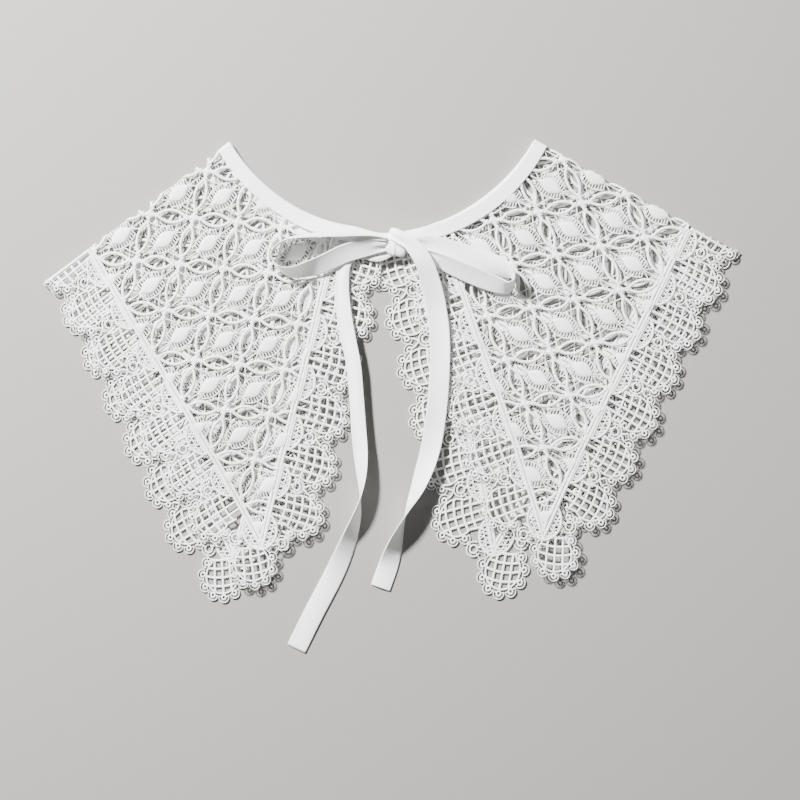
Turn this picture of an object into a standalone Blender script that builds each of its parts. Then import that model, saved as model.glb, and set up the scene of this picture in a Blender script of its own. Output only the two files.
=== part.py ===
"""A white guipure lace collar, laid flat with its shoulders folded and its ribbon tied in a bow.

Each half of the collar is one cut of lace: a back panel and a front panel that run into
each other over the shoulder fold. The cut is drawn flat, in millimetres, with p running from
the neck to the shoulder edge and q from the back tip to the front tip. It is then folded
along the crease, so that the front lies on the back, and laid down at its own angle.
"""
import math
from typing import NamedTuple

import bmesh
import bpy
from mathutils import Vector
from mathutils.geometry import delaunay_2d_cdt

MM = 0.001

# Cloth thicknesses and the gap at a seam, in millimetres
LACE_THICK = 1.2
BAND_THICK = 1.6
RIBBON_THICK = 1.0
SEAM_GAP = 0.3

# The shoulder fold: its radius at the middle of the cloth
FOLD_RADIUS = 1.2
FOLD_STEPS = 4
FOLD_STATIONS = (-20.0, 60.0, 150.0)

# The scalloped edges: round lobes on a straight shoulder edge, a slanted inner edge and a tip
LOBE_PITCH = 28.75
LOBE_RADIUS = 15.8
LOBE_SIDES = 20
SHOULDER_LINE = 115.3
SHOULDER_LOBES = 6
TIP_LOBE = (109.0, 208.5)
INNER_LOBE = (69.3, 199.0)
INNER_STEP = (-21.55, -19.84)
INNER_LOBES = 6
TIP_BULGE = 7.0
SHORTEST_EDGE = 0.8

# The neck edge is an arc about a centre on the line q = 0
NECK_RADIUS = 112.0
NECK_CENTRE = -112.0
NECK_STEP_DEG = 2.0
NECK_END_DEG = 68.0
NECK_CUT_BACK = 20.0
BAND_WIDTH = 8.6
BAND_END_GAP = 0.5

# The leaf field: a rhombus net of lens-shaped openings inside a straight edge cord
CELL_HALF_P = 21.4
CELL_HALF_Q = 17.0
CELL_NODE = (54.7, 73.2)
LENS_HALF_LENGTH = 6.7
LENS_HALF_WIDTH = 2.6
LENS_SHOULDER = 0.55
NET_REACH = 16
CORD_INSET = 19.0
OPENING_MARGIN = 1.2

# Soft waves in the front panels, away from the neck
WAVE_HEIGHT = 1.5
WAVE_LENGTH = 84.0
WAVE_START_P = 30.0
WAVE_FULL_P = 85.0
WAVE_START_Q = 40.0

# Where the two back panels meet, and where each front panel and band end stop at the knot
BACK_SEAM_X = -14.5
FRONT_END_X = {"left": -8.0, "right": 5.5}
BAND_END_X = {"left": -1.0, "right": 2.0}
CLIP_REACH = 90.0
BACK_CLIP_Y = (40.0, 125.0)
FRONT_CLIP_Y = (60.0, 125.0)

# The middle of the laid collar, moved to the origin
LAY_CENTRE = (-1.606, 2.107)

# The knot
KNOT_CENTRE = (0.6, 88.6)
KNOT_SIZE = (11.0, 15.0, 6.6)
KNOT_BASE = 4.3
KNOT_ROUND = 2.2


class Half(NamedTuple):
    """How one half of the collar is laid: its neck end, its crease and how its cloth is eased."""
    side: str
    turn: int
    neck: tuple
    crease_deg: float
    crease_q: float
    scale: float
    front_reach: float
    front_ease: float
    front_lean: float
    back_reach: float
    back_ease: float
    back_lean: float


LEFT = Half(side="left", turn=1, neck=(-101.2, 142.6), crease_deg=217.0, crease_q=-1.0, scale=0.96,
            front_reach=0.958, front_ease=0.04, front_lean=0.11,
            back_reach=0.945, back_ease=0.06, back_lean=0.205)
RIGHT = Half(side="right", turn=-1, neck=(87.7, 144.9), crease_deg=-28.6, crease_q=2.4, scale=0.965,
             front_reach=0.987, front_ease=-0.015, front_lean=0.05,
             back_reach=1.075, back_ease=-0.05, back_lean=-0.05)


class Strand(NamedTuple):
    """One station of a ribbon's route: its middle, its tilt from flat and its width."""
    x: float
    y: float
    z: float
    tilt: float
    width: float


LOOP_LEFT = (
    Strand(x=-5.4, y=92.4, z=8.2, tilt=104.0, width=6.0),
    Strand(x=-14.0, y=94.4, z=9.4, tilt=116.0, width=9.5),
    Strand(x=-30.0, y=95.4, z=10.0, tilt=120.0, width=11.5),
    Strand(x=-48.6, y=95.6, z=10.2, tilt=116.0, width=11.5),
    Strand(x=-62.6, y=92.4, z=10.4, tilt=102.0, width=11.5),
    Strand(x=-69.2, y=85.0, z=10.5, tilt=88.0, width=11.5),
    Strand(x=-66.0, y=77.6, z=10.4, tilt=72.0, width=11.5),
    Strand(x=-57.0, y=74.4, z=9.8, tilt=54.0, width=11.5),
    Strand(x=-42.8, y=76.6, z=9.6, tilt=44.0, width=11.5),
    Strand(x=-27.0, y=81.2, z=10.1, tilt=44.0, width=11.5),
    Strand(x=-14.0, y=84.8, z=10.2, tilt=50.0, width=9.6),
    Strand(x=-5.4, y=86.6, z=9.6, tilt=60.0, width=6.0),
)
LOOP_RIGHT = (
    Strand(x=6.8, y=92.0, z=7.6, tilt=-104.0, width=5.0),
    Strand(x=15.0, y=92.4, z=9.0, tilt=-114.0, width=9.0),
    Strand(x=28.0, y=90.4, z=10.0, tilt=-120.0, width=11.5),
    Strand(x=46.5, y=86.0, z=10.2, tilt=-116.0, width=11.5),
    Strand(x=61.5, y=79.2, z=10.4, tilt=-104.0, width=11.5),
    Strand(x=68.6, y=70.6, z=10.5, tilt=-88.0, width=11.5),
    Strand(x=64.8, y=63.8, z=10.0, tilt=-66.0, width=11.5),
    Strand(x=53.0, y=66.6, z=8.6, tilt=-40.0, width=11.5),
    Strand(x=36.0, y=74.2, z=7.8, tilt=-30.0, width=11.5),
    Strand(x=20.0, y=81.4, z=7.4, tilt=-34.0, width=8.4),
    Strand(x=6.8, y=86.4, z=6.8, tilt=-44.0, width=5.0),
)
TAIL_LEFT = (
    Strand(x=-5.4, y=82.4, z=5.2, tilt=0.0, width=6.0),
    Strand(x=-15.0, y=80.8, z=5.1, tilt=0.0, width=7.0),
    Strand(x=-23.5, y=75.6, z=5.0, tilt=4.0, width=7.6),
    Strand(x=-28.4, y=66.0, z=5.0, tilt=8.0, width=8.0),
    Strand(x=-29.4, y=53.0, z=5.2, tilt=10.0, width=8.6),
    Strand(x=-27.0, y=38.0, z=5.2, tilt=10.0, width=8.8),
    Strand(x=-23.4, y=20.0, z=5.2, tilt=10.0, width=8.6),
    Strand(x=-21.6, y=0.0, z=5.3, tilt=10.0, width=8.4),
    Strand(x=-20.4, y=-18.0, z=5.6, tilt=14.0, width=8.8),
    Strand(x=-19.0, y=-36.0, z=5.4, tilt=40.0, width=9.6),
    Strand(x=-19.0, y=-52.0, z=5.6, tilt=76.0, width=10.4),
    Strand(x=-21.4, y=-66.0, z=5.6, tilt=112.0, width=10.8),
    Strand(x=-27.6, y=-84.0, z=3.4, tilt=152.0, width=11.2),
    Strand(x=-35.6, y=-102.0, z=0.9, tilt=178.0, width=11.5),
    Strand(x=-46.6, y=-123.0, z=0.55, tilt=180.0, width=11.5),
    Strand(x=-56.4, y=-143.0, z=0.55, tilt=180.0, width=11.5),
)
TAIL_RIGHT = (
    Strand(x=3.4, y=92.6, z=12.2, tilt=0.0, width=7.0),
    Strand(x=9.8, y=88.6, z=12.6, tilt=0.0, width=8.0),
    Strand(x=16.4, y=79.4, z=12.4, tilt=4.0, width=9.6),
    Strand(x=20.8, y=67.0, z=9.0, tilt=6.0, width=11.0),
    Strand(x=23.8, y=53.6, z=5.8, tilt=4.0, width=11.5),
    Strand(x=26.0, y=34.5, z=5.0, tilt=0.0, width=11.5),
    Strand(x=25.6, y=11.5, z=4.9, tilt=0.0, width=11.5),
    Strand(x=23.8, y=-8.6, z=4.9, tilt=0.0, width=11.5),
    Strand(x=20.4, y=-28.8, z=4.8, tilt=14.0, width=11.5),
    Strand(x=14.0, y=-48.9, z=5.2, tilt=44.0, width=11.5),
    Strand(x=6.4, y=-66.1, z=6.3, tilt=88.0, width=11.5),
    Strand(x=0.2, y=-83.4, z=4.4, tilt=140.0, width=11.5),
    Strand(x=-3.8, y=-96.0, z=1.0, tilt=176.0, width=11.5),
    Strand(x=-8.0, y=-108.0, z=0.55, tilt=180.0, width=11.5),
)
RIBBON_STEPS = 3


class Finish(NamedTuple):
    """The plain colour and roughness of one cloth."""
    name: str
    colour: tuple
    roughness: float


LACE_FINISH = Finish(name="cotton", colour=(0.86, 0.86, 0.84), roughness=0.8)
RIBBON_FINISH = Finish(name="satin", colour=(0.88, 0.88, 0.86), roughness=0.5)


def clear_scene():
    """Remove every object that the file holds."""
    for item in list(bpy.data.objects):
        bpy.data.objects.remove(item, do_unlink=True)


def make_material(node, finish):
    """Return one piece's own Principled material, with a finish's colour and roughness."""
    material = bpy.data.materials.new(f"{node}_{finish.name}")
    material.use_nodes = True
    shader = material.node_tree.nodes["Principled BSDF"]
    shader.inputs["Base Color"].default_value = (*finish.colour, 1.0)
    shader.inputs["Roughness"].default_value = finish.roughness
    return material


def smoothstep(value, start, end):
    """Return 0 before start, 1 after end and an even rise between them."""
    share = min(max((value - start) / (end - start), 0.0), 1.0)
    return share * share * (3.0 - 2.0 * share)


def laid_reach(half, p, layer):
    """Return how far one unit of the cut reaches from the crease, on the front (1) or back (-1)."""
    reach, ease = (half.front_reach, half.front_ease) if layer > 0 else (half.back_reach, half.back_ease)
    return reach * (1.0 + ease * (1.0 - p / SHOULDER_LINE))


def from_crease(half, p, q):
    """Return the laid distance of a point from the crease, positive on the front panel."""
    depth = q - half.crease_q
    return depth * laid_reach(half, p, math.copysign(1.0, depth))


def wave_lift(p, q):
    """Return the height of the front panel's soft waves at a point of the cut."""
    fade = smoothstep(p, WAVE_START_P, WAVE_FULL_P) * smoothstep(q, 0.0, WAVE_START_Q)
    return WAVE_HEIGHT * fade * math.sin(math.pi * q / WAVE_LENGTH) ** 2


def laid_point(half, p, q, lift, thick):
    """Return the place of a point of the cut once it is folded and laid down.

    lift is the distance out of the middle of the cloth, positive on its outer side, and
    thick is the whole thickness of that cloth.
    """
    along = p * half.scale
    distance = from_crease(half, p, q)
    quarter = FOLD_RADIUS * math.pi / 2.0
    middle = thick / 2.0 + FOLD_RADIUS
    if abs(distance) <= quarter:
        angle = distance / FOLD_RADIUS
        down = FOLD_RADIUS - (FOLD_RADIUS + lift) * math.cos(angle)
        height = middle + (FOLD_RADIUS + lift) * math.sin(angle)
        shear = 0.0
    else:
        layer = math.copysign(1.0, distance)
        down = FOLD_RADIUS + abs(distance) - quarter
        height = middle + layer * (FOLD_RADIUS + lift)
        shear = (half.front_lean if layer > 0.0 else half.back_lean) * (abs(distance) - quarter)
        if layer > 0.0:
            height += wave_lift(p, q)
    angle = math.radians(half.crease_deg)
    crease = Vector((math.cos(angle), math.sin(angle)))
    across = Vector((-crease.y, crease.x)) * half.turn
    flat = Vector(half.neck) + crease * (along + shear) + across * down
    return Vector((flat.x - LAY_CENTRE[0], flat.y - LAY_CENTRE[1], height))


def cut_point(half, x, y, layer):
    """Return the point of the cut that lies at x, y on the front (1) or back (-1) panel."""
    angle = math.radians(half.crease_deg)
    crease = Vector((math.cos(angle), math.sin(angle)))
    across = Vector((-crease.y, crease.x)) * half.turn
    offset = Vector((x, y)) - Vector(half.neck)
    quarter = FOLD_RADIUS * math.pi / 2.0
    distance = offset.dot(across) - FOLD_RADIUS + quarter
    lean = half.front_lean if layer > 0 else half.back_lean
    p = (offset.dot(crease) - lean * (distance - quarter)) / half.scale
    return p, half.crease_q + layer * distance / laid_reach(half, p, layer)


def circle(centre, radius, sides):
    """Return the corners of a round outline."""
    turns = [2.0 * math.pi * step / sides for step in range(sides)]
    return [(centre[0] + radius * math.cos(turn), centre[1] + radius * math.sin(turn)) for turn in turns]


def mirrored(points, sign):
    """Return points on the front (1) or back (-1) side of the cut."""
    return [(p, q * sign) for p, q in points]


def inner_lobe(index):
    """Return the centre of a lobe on the inner edge, counted from the tip."""
    return INNER_LOBE[0] + INNER_STEP[0] * index, INNER_LOBE[1] + INNER_STEP[1] * index


def lobe_centres():
    """Return the centres of all the round lobes of one half."""
    centres = [(SHOULDER_LINE, LOBE_PITCH * step) for step in range(-SHOULDER_LOBES, SHOULDER_LOBES + 1)]
    for sign in (1, -1):
        centres += mirrored([TIP_LOBE], sign)
        centres += mirrored([inner_lobe(index) for index in range(INNER_LOBES)], sign)
    return centres


def bulged_middle(start, end, bulge):
    """Return the middle of an edge, pushed out to its right by the bulge."""
    edge = Vector(end) - Vector(start)
    out = Vector((edge.y, -edge.x)).normalized()
    middle = (Vector(start) + Vector(end)) / 2.0 + out * bulge
    return middle.x, middle.y


def panel_body():
    """Return the straight-sided body of one half, from lobe centre to lobe centre."""
    last_shoulder = (SHOULDER_LINE, LOBE_PITCH * SHOULDER_LOBES)
    front = [
        last_shoulder,
        bulged_middle(last_shoulder, TIP_LOBE, TIP_BULGE),
        TIP_LOBE,
        bulged_middle(TIP_LOBE, INNER_LOBE, TIP_BULGE),
        INNER_LOBE,
        inner_lobe(INNER_LOBES),
    ]
    return front + list(reversed(mirrored(front, -1)))


def fold_depths(half, p):
    """Return how far past the crease each bend line of the shoulder fold lies in the cut."""
    quarter = FOLD_RADIUS * math.pi / 2.0
    depths = []
    for step in range(FOLD_STEPS + 1):
        distance = quarter * (2.0 * step / FOLD_STEPS - 1.0)
        depths.append(distance / laid_reach(half, p, math.copysign(1.0, distance)))
    return depths


def neck_angles(half):
    """Return the angles along the neck arc, in degrees, with close ones at the crease."""
    crease = math.degrees(math.asin(half.crease_q / NECK_RADIUS))
    near = [crease + math.degrees(depth / NECK_RADIUS) for depth in fold_depths(half, 0.0)]
    count = int(NECK_END_DEG / NECK_STEP_DEG)
    back = [crease - NECK_STEP_DEG * step for step in range(count, 0, -1)]
    front = [crease + NECK_STEP_DEG * step for step in range(1, count + 1)]
    return back + near + front


def neck_point(radius, degrees):
    """Return a point at a radius and angle about the centre of the neck."""
    angle = math.radians(degrees)
    return NECK_CENTRE + radius * math.cos(angle), radius * math.sin(angle)


def clip_panel(half, limit_x, span_y, layer):
    """Return the stretch of the cut that lies past a line of constant x."""
    outward = 1.0 if half.side == "left" else -1.0
    far = limit_x + outward * CLIP_REACH
    corners = [(limit_x, span_y[0]), (far, span_y[0]), (far, span_y[1]), (limit_x, span_y[1])]
    return [cut_point(half, x, y, layer) for x, y in corners]


def in_field(p, q):
    """Return whether a point lies in the leaf field, clear of its edge cords."""
    start = Vector(INNER_LOBE)
    step = Vector(INNER_STEP).normalized()
    inward = Vector((-step.y, step.x))
    depth = (Vector((p, abs(q))) - start).dot(inward)
    from_neck = math.hypot(p - NECK_CENTRE, q) - NECK_RADIUS
    clear_of_shoulder = SHOULDER_LINE - CORD_INSET - p > OPENING_MARGIN
    return clear_of_shoulder and depth > CORD_INSET + OPENING_MARGIN and from_neck > 2.0 * OPENING_MARGIN


def lens(centre, direction):
    """Return the outline of one lens-shaped opening."""
    along = Vector(direction).normalized()
    across = Vector((-along.y, along.x))
    shares = (-LENS_SHOULDER, 0.0, LENS_SHOULDER)
    stations = [(-1.0, 0), *((share, -1) for share in shares), (1.0, 0)]
    stations += [(share, 1) for share in reversed(shares)]
    points = []
    for share, side in stations:
        width = side * LENS_HALF_WIDTH * (1.0 - share * share)
        point = Vector(centre) + along * (share * LENS_HALF_LENGTH) + across * width
        points.append((point.x, point.y))
    return points


def lens_openings(half):
    """Return the lens openings of one half: one on each edge of the rhombus net."""
    openings = []
    for column in range(-NET_REACH, NET_REACH + 1):
        for row in range(-NET_REACH, NET_REACH + 1):
            if (column + row) % 2:
                continue
            node = (CELL_NODE[0] + CELL_HALF_P * column, CELL_NODE[1] + CELL_HALF_Q * row)
            for sign in (1, -1):
                direction = (CELL_HALF_P, sign * CELL_HALF_Q)
                centre = (node[0] + direction[0] / 2.0, node[1] + direction[1] / 2.0)
                outline = lens(centre, direction)
                inside = all(in_field(p, q) for p, q in outline)
                distances = [from_crease(half, p, q) for p, q in outline]
                flat = min(abs(distance) for distance in distances) > 2.0 * FOLD_RADIUS
                one_side = min(distances) > 0.0 or max(distances) < 0.0
                if inside and flat and one_side:
                    openings.append(outline)
    return openings


def counter_clockwise(outline):
    """Return an outline with its points in counter-clockwise order."""
    doubled = sum(a[0] * b[1] - b[0] * a[1] for a, b in zip(outline, outline[1:] + outline[:1]))
    return outline if doubled > 0.0 else list(reversed(outline))


def triangulate(material, cuts, lines):
    """Return points and triangles that cover the material outlines but not the cuts."""
    points = []
    faces = []
    edges = []
    for outline in map(counter_clockwise, material + cuts):
        faces.append(list(range(len(points), len(points) + len(outline))))
        points += [Vector(point) for point in outline]
    for start, end in lines:
        edges.append((len(points), len(points) + 1))
        points += [Vector(start), Vector(end)]
    result = delaunay_2d_cdt(points, edges, faces, 0, 0.0001)
    solid = set(range(len(material)))
    kept = []
    for face, origin in zip(result[2], result[5]):
        if solid.intersection(origin) and solid.issuperset(origin):
            kept.append(face)
    return result[0], kept


def boundary_loops(points, faces):
    """Return the closed outlines round a set of triangles."""
    following = {}
    sides = set()
    for face in faces:
        for start, end in zip(face, face[1:] + face[:1]):
            sides.add((start, end))
    for start, end in sides:
        if (end, start) not in sides:
            following[start] = end
    loops = []
    while following:
        start = next(iter(following))
        loop = [start]
        end = following.pop(start)
        while end != start:
            loop.append(end)
            end = following.pop(end)
        loops.append([tuple(points[index]) for index in loop])
    return loops


def simplified(outline):
    """Return an outline without points that lie close together."""
    kept = []
    for point in outline:
        if not kept or math.dist(point, kept[-1]) > SHORTEST_EDGE:
            kept.append(point)
    if math.dist(kept[0], kept[-1]) <= SHORTEST_EDGE:
        kept.pop()
    return kept


def fold_lines(half):
    """Return the lines of the cut along which the wall bends at the shoulder."""
    stations = [[(p, half.crease_q + depth) for depth in fold_depths(half, p)] for p in FOLD_STATIONS]
    lines = []
    for first, second in zip(stations, stations[1:]):
        lines += list(zip(first, second))
    return lines


def half_outline(half):
    """Return the outline of one half's cut, clear of the band, the seam and the knot."""
    discs = [circle(centre, LOBE_RADIUS, LOBE_SIDES) for centre in lobe_centres()]
    neck = [neck_point(NECK_RADIUS, degrees) for degrees in neck_angles(half)]
    neck.append((NECK_CENTRE - NECK_CUT_BACK, 0.0))
    outward = 1.0 if half.side == "left" else -1.0
    seam = clip_panel(half, BACK_SEAM_X - outward * SEAM_GAP / 2.0, BACK_CLIP_Y, -1)
    end = clip_panel(half, FRONT_END_X[half.side], FRONT_CLIP_Y, 1)
    points, faces = triangulate([panel_body()] + discs, [neck, seam, end], [])
    loops = boundary_loops(points, faces)
    return simplified(max(loops, key=len))


def closed_shell(name, outer, inner, triangles, finish):
    """Make a closed wall from matching outer and inner points and one set of triangles."""
    mesh = bmesh.new()
    tops = [mesh.verts.new(point * MM) for point in outer]
    lows = [mesh.verts.new(point * MM) for point in inner]
    sides = set()
    for face in triangles:
        mesh.faces.new([tops[index] for index in face])
        mesh.faces.new([lows[index] for index in reversed(face)])
        for start, end in zip(face, face[1:] + face[:1]):
            sides.add((start, end))
    for start, end in sides:
        if (end, start) not in sides:
            mesh.faces.new((tops[end], tops[start], lows[start], lows[end]))
    return finish_mesh(name, mesh, finish)


def finish_mesh(name, mesh, finish):
    """Turn the faces of a closed mesh outwards and link it as a named object."""
    loose = [vert for vert in mesh.verts if not vert.link_faces]
    bmesh.ops.delete(mesh, geom=loose, context="VERTS")
    bmesh.ops.recalc_face_normals(mesh, faces=mesh.faces)
    data = bpy.data.meshes.new(name)
    mesh.to_mesh(data)
    mesh.free()
    data.materials.append(make_material(name, finish))
    item = bpy.data.objects.new(name, data)
    bpy.context.scene.collection.objects.link(item)
    return item


def build_lace(half):
    """Make one half of the lace: back panel, shoulder fold and front panel in one wall."""
    points, triangles = triangulate([half_outline(half)], lens_openings(half), fold_lines(half))
    reach = LACE_THICK / 2.0
    outer = [laid_point(half, p, q, reach, LACE_THICK) for p, q in points]
    inner = [laid_point(half, p, q, -reach, LACE_THICK) for p, q in points]
    return closed_shell(f"{half.side}_lace", outer, inner, triangles, LACE_FINISH)


def loft(name, sections):
    """Join a row of four-cornered sections into one closed strip."""
    mesh = bmesh.new()
    rings = [[mesh.verts.new(point * MM) for point in section] for section in sections]
    for first, second in zip(rings, rings[1:]):
        for side in range(4):
            after = (side + 1) % 4
            mesh.faces.new((first[side], first[after], second[after], second[side]))
    mesh.faces.new(rings[0])
    mesh.faces.new(list(reversed(rings[-1])))
    bmesh.ops.triangulate(mesh, faces=mesh.faces)
    return finish_mesh(name, mesh, RIBBON_FINISH)


def band_sections(half):
    """Return the sections of the neckband along one half, from its back to its front end."""
    sections = []
    reach = BAND_THICK / 2.0
    outward = 1.0 if half.side == "left" else -1.0
    for degrees in neck_angles(half):
        outer = neck_point(NECK_RADIUS - SEAM_GAP, degrees)
        inner = neck_point(NECK_RADIUS - SEAM_GAP - BAND_WIDTH, degrees)
        distance = from_crease(half, *outer)
        if abs(distance) < 2.0 * FOLD_RADIUS:
            inner = (inner[0], outer[1])
        corners = [(inner, -reach), (outer, -reach), (outer, reach), (inner, reach)]
        section = [laid_point(half, *flat, lift, BAND_THICK) for flat, lift in corners]
        limit = BAND_END_X[half.side] if distance > 0.0 else BACK_SEAM_X
        if all((limit - point.x - LAY_CENTRE[0]) * outward > BAND_END_GAP for point in section):
            sections.append(section)
    return sections


def build_band():
    """Make the neckband: front left, over the shoulder, round the back and forward again."""
    left = band_sections(LEFT)
    right = band_sections(RIGHT)
    return loft("neckband", list(reversed(left)) + right)


def blended(rows, position):
    """Return the smooth curve through rows of numbers at a position along them."""
    index = min(int(position), len(rows) - 2)
    share = position - index
    before = rows[max(index - 1, 0)]
    start = rows[index]
    end = rows[index + 1]
    after = rows[min(index + 2, len(rows) - 1)]
    values = []
    for a, b, c, d in zip(before, start, end, after):
        slope = (c - a) / 2.0
        next_slope = (d - b) / 2.0
        cubic = 2.0 * b - 2.0 * c + slope + next_slope
        square = 3.0 * (c - b) - 2.0 * slope - next_slope
        values.append(b + share * (slope + share * (square + share * cubic)))
    return values


def ribbon(name, route):
    """Sweep a flat ribbon along a route, tilted and narrowed as its stations say."""
    count = (len(route) - 1) * RIBBON_STEPS
    stations = [blended(route, step / RIBBON_STEPS) for step in range(count + 1)]
    sections = []
    for index, (x, y, z, tilt, width) in enumerate(stations):
        before = Vector(stations[max(index - 1, 0)][:3])
        after = Vector(stations[min(index + 1, count)][:3])
        forward = (after - before).normalized()
        level = Vector((-forward.y, forward.x, 0.0)).normalized()
        upward = forward.cross(level)
        angle = math.radians(tilt)
        across = (level * math.cos(angle) + upward * math.sin(angle)) * width / 2.0
        through = (upward * math.cos(angle) - level * math.sin(angle)) * RIBBON_THICK / 2.0
        middle = Vector((x - LAY_CENTRE[0], y - LAY_CENTRE[1], z))
        sections.append([middle - across - through, middle + across - through,
                         middle + across + through, middle - across + through])
    return loft(name, sections)


def build_knot():
    """Make the wrapped knot as a rounded pad on the band's front ends."""
    mesh = bmesh.new()
    bmesh.ops.create_cube(mesh, size=1.0)
    bmesh.ops.scale(mesh, vec=Vector(KNOT_SIZE) * MM, verts=mesh.verts)
    bmesh.ops.bevel(mesh, geom=mesh.edges[:], offset=KNOT_ROUND * MM, segments=3, profile=0.5,
                    affect="EDGES", material=-1)
    item = finish_mesh("bow_knot", mesh, RIBBON_FINISH)
    item.location = Vector((KNOT_CENTRE[0] - LAY_CENTRE[0], KNOT_CENTRE[1] - LAY_CENTRE[1],
                            KNOT_BASE + KNOT_SIZE[2] / 2.0)) * MM
    item.data.shade_smooth()
    return item


def main():
    """Build the whole collar."""
    clear_scene()
    build_lace(LEFT)
    build_lace(RIGHT)
    build_band()
    build_knot()
    ribbon("bow_loop_left", LOOP_LEFT)
    ribbon("bow_loop_right", LOOP_RIGHT)
    ribbon("tie_tail_left", TAIL_LEFT)
    ribbon("tie_tail_right", TAIL_RIGHT)


main()
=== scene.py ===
"""The looks of a white guipure lace collar, laid flat and tied with a ribbon bow.

The lace is worked in the flat first, in millimetres, as the embroidery machine works it: p runs
from the neck to the shoulder edge and q from the back tip to the front tip. Cords, bars and
padded leaves are joined into one piece for each half, which is then folded over the shoulder
and laid down exactly where its solid lies.
"""
import logging
import math
from dataclasses import dataclass, field
from enum import Enum
from random import Random
from typing import Callable, Iterable, NamedTuple, Optional, Sequence

import bmesh
import bpy
from mathutils import Matrix, Vector


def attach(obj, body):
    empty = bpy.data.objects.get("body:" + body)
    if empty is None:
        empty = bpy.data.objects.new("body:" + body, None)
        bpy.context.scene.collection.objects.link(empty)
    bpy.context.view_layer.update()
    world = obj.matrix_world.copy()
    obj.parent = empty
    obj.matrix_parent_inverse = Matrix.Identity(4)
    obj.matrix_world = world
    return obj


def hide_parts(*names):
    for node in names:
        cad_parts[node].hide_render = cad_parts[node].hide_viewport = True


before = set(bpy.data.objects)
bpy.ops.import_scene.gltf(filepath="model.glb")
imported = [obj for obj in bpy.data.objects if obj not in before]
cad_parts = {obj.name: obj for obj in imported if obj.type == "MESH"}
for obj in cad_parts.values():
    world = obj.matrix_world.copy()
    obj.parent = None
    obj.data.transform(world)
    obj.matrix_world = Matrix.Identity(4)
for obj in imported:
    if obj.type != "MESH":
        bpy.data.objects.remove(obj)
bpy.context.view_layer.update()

MM = 0.001

logging.basicConfig(level=logging.INFO, format="%(message)s")
log = logging.getLogger("collar")


class Side(Enum):
    """The two halves of the collar, as the photo shows them."""

    LEFT = "left"
    RIGHT = "right"


class Panel(Enum):
    """The two panels that each half folds into."""

    FRONT = 1
    BACK = -1


@dataclass(frozen=True)
class Cut:
    """The sizes that both halves of the lace are cut and worked to, in millimetres."""

    thick: float = 1.2
    fold_radius: float = 1.2
    lobe_pitch: float = 28.75
    shoulder_line: float = 115.3
    shoulder_lobes: int = 6
    tip_lobe: tuple[float, float] = (109.0, 208.5)
    inner_lobe: tuple[float, float] = (69.3, 199.0)
    inner_step: tuple[float, float] = (-21.55, -19.84)
    inner_lobes: int = 6
    neck_radius: float = 112.0
    neck_centre: float = -112.0
    cell_half_p: float = 21.4
    cell_half_q: float = 17.0
    cell_node: tuple[float, float] = (54.7, 73.2)
    cord_inset: float = 19.0
    length: float = 449.0
    width: float = 186.0
    area: float = 57250.0

    @property
    def cord_line(self) -> float:
        """The p of the straight cord along the shoulder edge."""
        return self.shoulder_line - self.cord_inset

    @property
    def tipward(self) -> Vector:
        """The direction along the inner edge, towards the tip."""
        return -Vector(self.inner_step).normalized()

    @property
    def inner_outward(self) -> Vector:
        """The direction straight out of the inner edge."""
        along = self.tipward
        return Vector((-along.y, along.x))

    @property
    def tip_outward(self) -> Vector:
        """The direction straight out of the tip."""
        return (Vector((1.0, 0.0)) + self.inner_outward).normalized()

    @property
    def inner_cord_start(self) -> Vector:
        """A point of the straight cord along the inner edge, beside the first lobe."""
        return Vector(self.inner_lobe) - self.inner_outward * self.cord_inset

    @property
    def cord_corner(self) -> Vector:
        """The point of the V where the two straight cords meet at the tip."""
        start = self.inner_cord_start
        along = self.tipward
        return start + along * ((self.cord_line - start.x) / along.x)


CUT = Cut()
LAY_CENTRE = Vector((-1.606, 2.107))
WAVE_HEIGHT = 1.5
WAVE_LENGTH = 84.0
WAVE_FADE_P = (30.0, 85.0)
WAVE_FADE_Q = (0.0, 40.0)
BACK_SEAM_X = -14.5


def smoothstep(value: float, start: float, end: float) -> float:
    """Return 0 before start, 1 after end and an even rise between them."""
    share = min(max((value - start) / (end - start), 0.0), 1.0)
    return share * share * (3.0 - 2.0 * share)


def smooth_piece(name: str, work: bmesh.types.BMesh) -> bpy.types.Object:
    """Turn finished work into a smooth piece of the scene.

    Args:
        name: The name of the piece.
        work: Its finished shape, which is used up.

    Returns:
        The piece.
    """
    mesh = bpy.data.meshes.new(name)
    work.to_mesh(mesh)
    work.free()
    mesh.shade_smooth()
    piece = bpy.data.objects.new(name, mesh)
    bpy.context.scene.collection.objects.link(piece)
    return piece


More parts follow.
